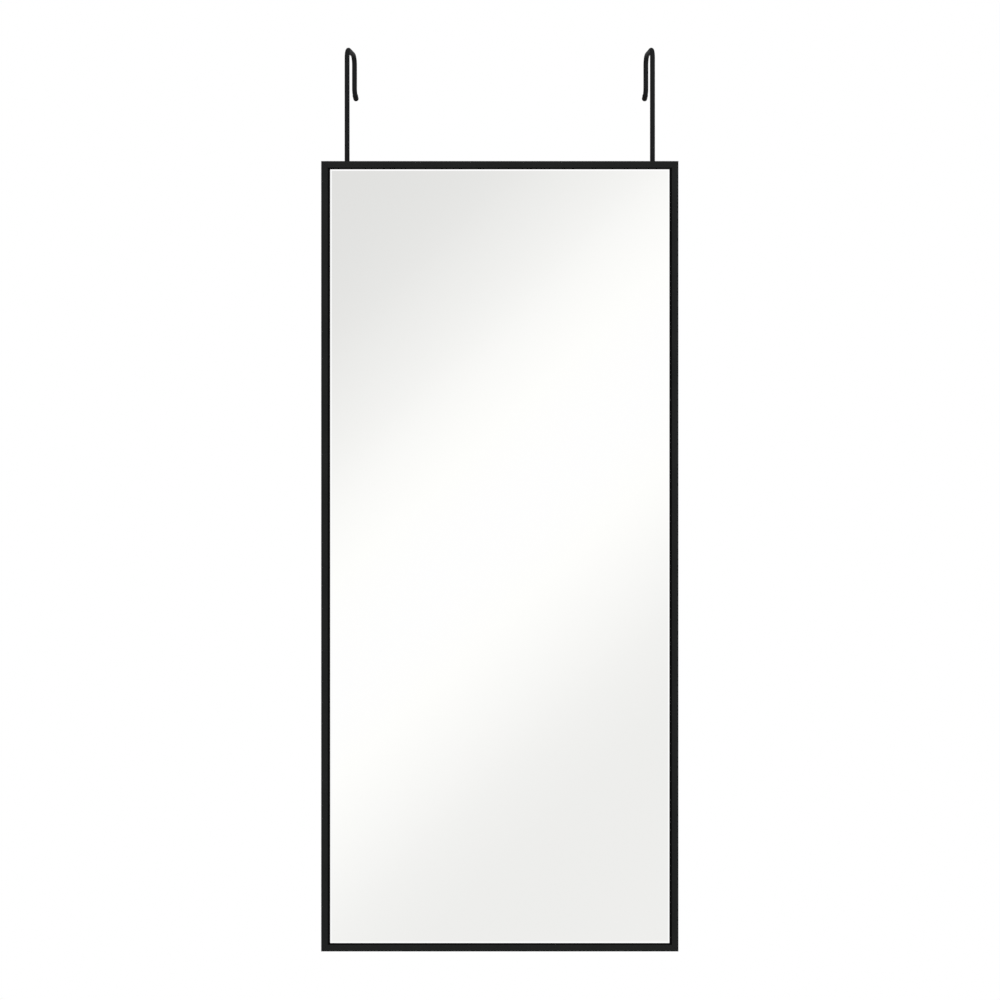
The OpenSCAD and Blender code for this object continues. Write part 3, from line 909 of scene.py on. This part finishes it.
def tip_cap(hand):
    """The hollow cap, from its rolled mouth to its round end, in line with the flare."""
    outer = rod_radius + CAP_WALL
    bore = rod_radius - CAP_SEAT + SNUG
    waist = outer - ROLL_RISE
    cap = turned([
        (bore, SNUG, CAP_MOUTH_ROUND), (outer, SNUG, ROLL_ROUND), (outer, ROLL_HEIGHT, CAP_SOFT_ROUND),
        (waist, ROLL_HEIGHT + ROLL_SLOPE, CAP_SOFT_ROUND), (waist, FLARE_LENGTH + CAP_END, CAP_ROUND),
        (0, FLARE_LENGTH + CAP_END, 0), (0, FLARE_LENGTH, 0), (bore, FLARE_LENGTH, CAP_SOFT_ROUND),
    ])
    place = Matrix.Translation((
        leg_step + FLARE_RADIUS * (1 - math.cos(FLARE_ANGLE)),
        0,
        -TAIL_LENGTH - FLARE_RADIUS * math.sin(FLARE_ANGLE),
    ))
    return moved(cap, in_hook_plane(hand) @ place @ Matrix.Rotation(math.pi - FLARE_ANGLE, 4, "Y"))


def soft_vinyl():
    material, tree, shader, where = new_finish("soft_vinyl", (0.0016,) * 3, 0.42, specular=0.06)
    dimples = grain(tree, where, 0.8 * MM, detail=2)
    toned(tree, shader, dimples, (0.0012,) * 3, (0.0024,) * 3)
    glossed(tree, shader, dimples, 0.36, 0.50)
    embossed(tree, shader, dimples, 0.03 * MM)
    return material


vinyl = soft_vinyl()
for hand in HANDS:
    node = hand.replace("hook", "tip_cap")
    finished(tip_cap(hand), node + "_soft", [vinyl], hand, "vinyl_cap", node)


# ---------------------------------------- Washers
# Below the top rail a zinc plated washer spreads each lock nut's load over the rail's inner wall.
# It is punched, so one edge is rounded, and its face keeps the faint rings of its finishing.
WASHER_HOLE = 2.65 * MM
WASHER_HOLE_ROUNDING = 0.15 * MM
PUNCHED_ROUNDING = 0.3 * MM
WASHER_EDGE = 0.08 * MM


def zinc_plate(name, middle):
    """Bright zinc, with fine rings about a piece's own axis and the plating's cloudy bloom."""
    material, tree, shader, where = new_finish(name, (0.60, 0.60, 0.61), 0.3, metallic=1.0)
    centred = tree.nodes.new("ShaderNodeMapping")
    centred.inputs["Location"].default_value = -middle
    tree.links.new(where, centred.inputs["Vector"])
    rings = tree.nodes.new("ShaderNodeTexWave")
    rings.wave_type = "RINGS"
    rings.rings_direction = "Z"
    rings.inputs["Scale"].default_value = 1 / (1.2 * MM)
    rings.inputs["Distortion"].default_value = 1.5
    rings.inputs["Detail"].default_value = 2
    tree.links.new(centred.outputs["Vector"], rings.inputs["Vector"])
    bloom = grain(tree, where, 2.5 * MM, detail=4)
    toned(tree, shader, bloom, (0.52, 0.53, 0.55), (0.68, 0.68, 0.67))
    glossed(tree, shader, bloom, 0.24, 0.40)
    embossed(tree, shader, rings.outputs["Fac"], 0.004 * MM)
    return material


def washer(hand):
    """The punched ring, with its rounded edge down."""
    lo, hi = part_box(hand.replace("hook", "washer"))
    radius = (hi.x - lo.x) / 2
    thickness = hi.z - lo.z
    ring = turned([
        (WASHER_HOLE, 0, WASHER_HOLE_ROUNDING), (radius, 0, PUNCHED_ROUNDING),
        (radius, thickness, WASHER_EDGE), (WASHER_HOLE, thickness, WASHER_EDGE),
    ])
    return moved(ring, at_rod(hand, lo.z))


zinc = {hand: zinc_plate("zinc_" + hand, hook_axes[hand]) for hand in HANDS}
for hand in HANDS:
    node = hand.replace("hook", "washer")
    finished(washer(hand), node + "_zinc", [zinc[hand]], "frame", "bright_fastener", node)


# ---------------------------------------- Lock nuts
# An M5 lock nut clamps each hook's threaded end: a chamfered hexagon of zinc plated steel, with a
# round collar that grips a ring of nylon, so that it holds its place as the hook is turned.
NUT_FLATS = 8 * MM
NUT_COLLAR = 1.4 * MM
NUT_COLLAR_RADIUS = 3.7 * MM
NUT_COLLAR_ROUNDING = 0.5 * MM
NUT_COLLAR_ROOT = 0.3 * MM
NUT_CHAMFER = math.radians(30)
NUT_FACE_SHARE = 0.97
NUT_MOUTH = 0.4 * MM
NUT_MOUTH_OVER = 0.2 * MM
SIXTH_TURN = math.radians(60)
INSERT_OUTER = 3.2 * MM
INSERT_SINK = 0.15 * MM
INSERT_ROUNDING = 0.15 * MM


def lock_nut(hand):
    """The nut with its collar down and its nylon ring inside that, turned as its hook is."""
    lo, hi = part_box(hand.replace("hook", "lock_nut"))
    height = hi.z - lo.z
    corner = NUT_FLATS / 2 / math.cos(SIXTH_TURN / 2)
    face_radius = NUT_FLATS / 2 * NUT_FACE_SHARE
    fall = (corner - face_radius) * math.tan(NUT_CHAMFER)
    bore = STUD_RADIUS + SNUG
    mouth = bore + NUT_MOUTH + NUT_MOUTH_OVER
    hexagon = bmesh.new()
    bmesh.ops.create_cone(hexagon, cap_ends=True, segments=6, radius1=corner, radius2=corner,
                          depth=height - NUT_COLLAR)
    flats_across = Matrix.Rotation(SIXTH_TURN / 2, 4, "Z")
    moved(hexagon, Matrix.Translation((0, 0, (height + NUT_COLLAR) / 2)) @ flats_across)
    envelope = turned([
        (0, NUT_COLLAR - OVER, 0), (face_radius, NUT_COLLAR - OVER, 0), (face_radius, NUT_COLLAR, 0),
        (corner, NUT_COLLAR + fall, 0), (corner, height - fall, 0), (face_radius, height, 0),
        (0, height, 0),
    ], steps=72)
    collar = turned([
        (0, 0, 0), (NUT_COLLAR_RADIUS, 0, NUT_COLLAR_ROUNDING),
        (NUT_COLLAR_RADIUS, NUT_COLLAR + NUT_COLLAR_ROOT, 0), (0, NUT_COLLAR + NUT_COLLAR_ROOT, 0),
    ])
    hole = turned([
        (0, -OVER, 0), (INSERT_OUTER, -OVER, 0), (INSERT_OUTER, NUT_COLLAR, 0), (bore, NUT_COLLAR, 0),
        (bore, height - NUT_MOUTH, 0), (mouth, height + NUT_MOUTH_OVER, 0), (mouth, height + OVER, 0),
        (0, height + OVER, 0),
    ])
    body = combined(hexagon, envelope, "INTERSECT")
    body = combined(body, collar, "UNION")
    body = combined(body, hole, "DIFFERENCE")
    insert = turned([
        (bore, INSERT_SINK, INSERT_ROUNDING), (INSERT_OUTER, INSERT_SINK, 0),
        (INSERT_OUTER, NUT_COLLAR, 0), (bore, NUT_COLLAR, 0),
    ])
    for face in insert.faces:
        face.material_index = 1
    turn = in_hook_plane(hand)
    turn.translation = (hook_axes[hand].x, hook_axes[hand].y, lo.z)
    return moved(together([body, insert]), turn)


def nylon_insert():
    material, tree, shader, where = new_finish("nylon_insert", (0.62, 0.63, 0.60), 0.4)
    clouds = grain(tree, where, 0.7 * MM, detail=3)
    toned(tree, shader, clouds, (0.55, 0.56, 0.53), (0.68, 0.69, 0.66))
    return material


insert_nylon = nylon_insert()
for hand in HANDS:
    node = hand.replace("hook", "lock_nut")
    finishes = [zinc[hand], insert_nylon]
    finished(lock_nut(hand), node + "_hexagon", finishes, hand, "bright_fastener", node)


# ---------------------------------------- Door bumpers
# Four soft round pads are stuck to the back of the stiles, near their ends. They keep the frame off
# the door's paint; each is moulded with a rounded edge and a shallow dish in its face.
DISH_DEPTH = 0.2 * MM
DISH_RIM_SHARE = 0.52
DISH_RIM_ROUNDING = 0.4 * MM
DISH_FLOOR_SHARE = 0.45
DISH_FLOOR_ROUNDING = 0.3 * MM


def bumper(lo, hi):
    """One pad, with its dish towards the door."""
    radius = (hi.x - lo.x) / 2
    height = hi.y - lo.y
    dish_z = height - DISH_DEPTH
    pad = turned([
        (0, 0, 0), (radius, 0, 0), (radius, height, height / 3),
        (radius * DISH_RIM_SHARE, height, DISH_RIM_ROUNDING),
        (radius * DISH_FLOOR_SHARE, dish_z, DISH_FLOOR_ROUNDING), (0, dish_z, 0),
    ])
    middle = Matrix.Translation(((lo.x + hi.x) / 2, lo.y, (lo.z + hi.z) / 2))
    return moved(pad, middle @ Matrix.Rotation(math.radians(-90), 4, "X"))


bumper_rubber = moulded_rubber("bumper_rubber", (0.024, 0.024, 0.025), (0.034, 0.034, 0.035))
for corner in CORNERS:
    node = corner + "_bumper"
    finished(bumper(*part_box(node)), node + "_pad", [bumper_rubber], "frame", "bumper", node)


# ---------------------------------------- Studio
# A pale floor a door's height below the hooks, soft lamps in front and behind, and white all round.
# In the glass alone the floor and the studio's sides are painted a little greyer than the white
# straight ahead, and a glowing card behind the camera, seen only by reflection, paints a soft
# diagonal sheen on it: both are painted reflections.
FLOOR_Z = -2.03
FLOOR_RADIUS = 14.0
FLOOR_FADE = (1.0, 2.2)
FLOOR_PAINT = (0.82, 0.82, 0.81)
# The grey the floor shows only in the glass: a painted reflection.
FLOOR_PAINTED_REFLECTION = (0.62, 0.62, 0.61)
WORLD_LEVEL = 0.45
WHITE = (1.0, 1.0, 1.0)
# The grey the white surroundings show only in the glass, towards the sides: a painted reflection.
SIDES_PAINTED_REFLECTION = (0.60, 0.60, 0.60)
PAINTED_REFLECTION_TURN = (0.25, 0.65)
PAINTED_REFLECTION_REACH = (1.8, 6.0)
CARD_BEHIND = 1.0
CARD_MARGIN = 1.02
CARD_SPREAD = (2 * CAMERA_DISTANCE + CARD_BEHIND) / CAMERA_DISTANCE
SHEEN_LEAN = 0.95
SHEEN_SPAN = 2 * CARD_SPREAD * (flat_half_x * SHEEN_LEAN + flat_half_z)
SHEEN_WARMTH = 0.984
# The glowing card's levels in linear light at places from its upper left corner to its lower right; a
# painted sheen.
PAINTED_SHEEN_LEVELS = (
    (0, 0.75), (0.16, 0.81), (0.28, 0.92), (0.38, 1.0),
    (0.56, 1.0), (0.68, 0.915), (0.78, 0.862), (1, 0.862),
)
# Each lamp's name, size, power and place. All of them face the middle of the glass.
LAMPS = (
    ("key_lamp", 1.6, 60, (2.0, -2.6, 0.9)),
    ("fill_lamp", 1.8, 28, (-2.4, -2.2, 0.2)),
    ("back_lamp", 1.8, 45, (-1.8, 2.8, 0.8)),
    ("back_fill_lamp", 1.8, 25, (2.4, 2.4, 0.0)),
)


def shows_white(tree, shaded, bright):
    """The bright shader as seen straight or in a reflection, and the shaded one for all other light."""
    rays = tree.nodes.new("ShaderNodeLightPath").outputs
    seen = rays["Is Camera Ray"]
    for kind in ("Is Glossy Ray", "Is Transmission Ray"):
        seen = computed(tree, "MAXIMUM", seen, rays[kind])
    mix = tree.nodes.new("ShaderNodeMixShader")
    tree.links.new(seen, mix.inputs["Fac"])
    tree.links.new(shaded, mix.inputs[1])
    tree.links.new(bright, mix.inputs[2])
    return mix.outputs["Shader"]


def in_glass_painted(tree, straight, reflected):
    """One colour where it is looked at straight, and a painted reflection where it shines in the glass.
    """
    rays = tree.nodes.new("ShaderNodeLightPath")
    return blended(tree, rays.outputs["Is Glossy Ray"], straight, reflected)


def white_with_painted_reflection(tree, where, distance=None):
    """White, which only in the glass is painted grey towards the studio's left and right, and more so
    far off.
    """
    bearing = tree.nodes.new("ShaderNodeVectorMath")
    bearing.operation = "NORMALIZE"
    tree.links.new(where, bearing.inputs[0])
    split = tree.nodes.new("ShaderNodeSeparateXYZ")
    tree.links.new(bearing.outputs["Vector"], split.inputs["Vector"])
    share = ranged(tree, computed(tree, "ABSOLUTE", split.outputs["X"]), 0, 1, *PAINTED_REFLECTION_TURN)
    if distance:
        share = computed(tree, "MULTIPLY", share, ranged(tree, distance, 0, 1, *PAINTED_REFLECTION_REACH))
    return in_glass_painted(tree, WHITE, blended(tree, share, WHITE, SIDES_PAINTED_REFLECTION))


world = bpy.data.worlds.new("white_studio")
world.use_nodes = True
bpy.context.scene.world = world
sky = world.node_tree
soft = sky.nodes["Background"]
soft.inputs["Color"].default_value = (*WHITE, 1)
soft.inputs["Strength"].default_value = WORLD_LEVEL
# Straight on, the world is white; in the glass it is painted grey towards the sides, a painted
# reflection.
white_and_painted_reflection = sky.nodes.new("ShaderNodeBackground")
white_and_painted_reflection.inputs["Strength"].default_value = 1
looking = sky.nodes.new("ShaderNodeTexCoord").outputs["Generated"]
sky.links.new(white_with_painted_reflection(sky, looking), white_and_painted_reflection.inputs["Color"])
surroundings = shows_white(sky, soft.outputs[0], white_and_painted_reflection.outputs[0])
sky.links.new(surroundings, sky.nodes["World Output"].inputs["Surface"])


def studio_plane(name, bm, material):
    """A flat piece of the studio, which isn't part of the object."""
    mesh = bpy.data.meshes.new(name)
    bm.to_mesh(mesh)
    bm.free()
    mesh.materials.append(material)
    plane = bpy.data.objects.new(name, mesh)
    bpy.context.scene.collection.objects.link(plane)
    return plane


def floor_paint():
    """Pale matt paint that fades into the white of the backdrop well away from the object."""
    material, tree, shader, where = new_finish("pale_floor", FLOOR_PAINT, 0.7, specular=0.1)
    # In the glass the floor shows a darker colour than its paint: a painted reflection.
    tree.links.new(in_glass_painted(tree, FLOOR_PAINT, FLOOR_PAINTED_REFLECTION), shader.inputs["Base Color"])
    distance = tree.nodes.new("ShaderNodeVectorMath")
    distance.operation = "LENGTH"
    tree.links.new(where, distance.inputs[0])
    glow = tree.nodes.new("ShaderNodeEmission")
    tree.links.new(white_with_painted_reflection(tree, where, distance.outputs["Value"]), glow.inputs["Color"])
    fade = tree.nodes.new("ShaderNodeMixShader")
    tree.links.new(ranged(tree, distance.outputs["Value"], 0, 1, *FLOOR_FADE), fade.inputs["Fac"])
    tree.links.new(shader.outputs[0], fade.inputs[1])
    tree.links.new(glow.outputs[0], fade.inputs[2])
    seen = shows_white(tree, shader.outputs[0], fade.outputs[0])
    tree.links.new(seen, tree.nodes["Material Output"].inputs["Surface"])
    return material


floor_mesh = bmesh.new()
bmesh.ops.create_circle(floor_mesh, cap_ends=True, segments=96, radius=FLOOR_RADIUS)
floor = studio_plane("floor", floor_mesh, floor_paint())
floor.location.z = FLOOR_Z


def painted_reflection_glow():
    """A glow that paints the sheen in the glass: grey above, white in a band from the lower left to the
    upper right, and light grey below.
    """
    material = bpy.data.materials.new("painted_reflection_card")
    material.use_nodes = True
    tree = material.node_tree
    tree.nodes.clear()
    where = tree.nodes.new("ShaderNodeTexCoord").outputs["Object"]
    split = tree.nodes.new("ShaderNodeSeparateXYZ")
    tree.links.new(where, split.inputs["Vector"])
    down = computed(tree, "MULTIPLY", split.outputs["Y"], -1)
    across = computed(tree, "MULTIPLY_ADD", split.outputs["X"], SHEEN_LEAN, down)
    ramp = tree.nodes.new("ShaderNodeValToRGB")
    ramp.color_ramp.interpolation = "CARDINAL"
    stops = ramp.color_ramp.elements
    for place, _ in PAINTED_SHEEN_LEVELS[1:-1]:
        stops.new(place)
    for stop, (_, level) in zip(stops, PAINTED_SHEEN_LEVELS):
        stop.color = (level, level, level * SHEEN_WARMTH, 1)
    span = ranged(tree, across, 0, 1, -SHEEN_SPAN / 2, SHEEN_SPAN / 2)
    tree.links.new(span, ramp.inputs["Fac"])
    glow = tree.nodes.new("ShaderNodeEmission")
    tree.links.new(ramp.outputs["Color"], glow.inputs["Color"])
    out = tree.nodes.new("ShaderNodeOutputMaterial")
    tree.links.new(glow.outputs[0], out.inputs["Surface"])
    return material


# The glowing card that paints the sheen covers what the flat of the glass shows to the camera, and a
# little more.
painted_reflection_mesh = bmesh.new()
bmesh.ops.create_grid(painted_reflection_mesh, x_segments=1, y_segments=1, size=CARD_MARGIN * CARD_SPREAD)
bmesh.ops.scale(painted_reflection_mesh, vec=(flat_half_x, flat_half_z, 1), verts=painted_reflection_mesh.verts[:])
painted_reflection_panel = studio_plane("painted_reflection_card", painted_reflection_mesh, painted_reflection_glow())
painted_reflection_panel.location = (
    camera_place.x + (glass_middle.x - camera_place.x) * CARD_SPREAD,
    camera_place.y - CARD_BEHIND,
    camera_place.z + (glass_middle.z - camera_place.z) * CARD_SPREAD,
)
painted_reflection_panel.rotation_euler = camera.rotation_euler
# Seen only in the glass, this glowing panel paints the reflected sheen; it is no lamp.
painted_reflection_panel.visible_camera = False
painted_reflection_panel.visible_diffuse = False
painted_reflection_panel.visible_shadow = False
painted_reflection_panel.visible_transmission = False

for name, size, power, place in LAMPS:
    lamp = bpy.data.objects.new(name, bpy.data.lights.new(name, "AREA"))
    lamp.data.shape = "SQUARE"
    lamp.data.size = size
    lamp.data.energy = power
    lamp.location = place
    lamp.rotation_euler = (glass_middle - Vector(place)).to_track_quat("-Z", "Y").to_euler()
    lamp.visible_camera = False
    lamp.visible_glossy = False
    bpy.context.scene.collection.objects.link(lamp)

bpy.context.scene.view_settings.view_transform = "Standard"
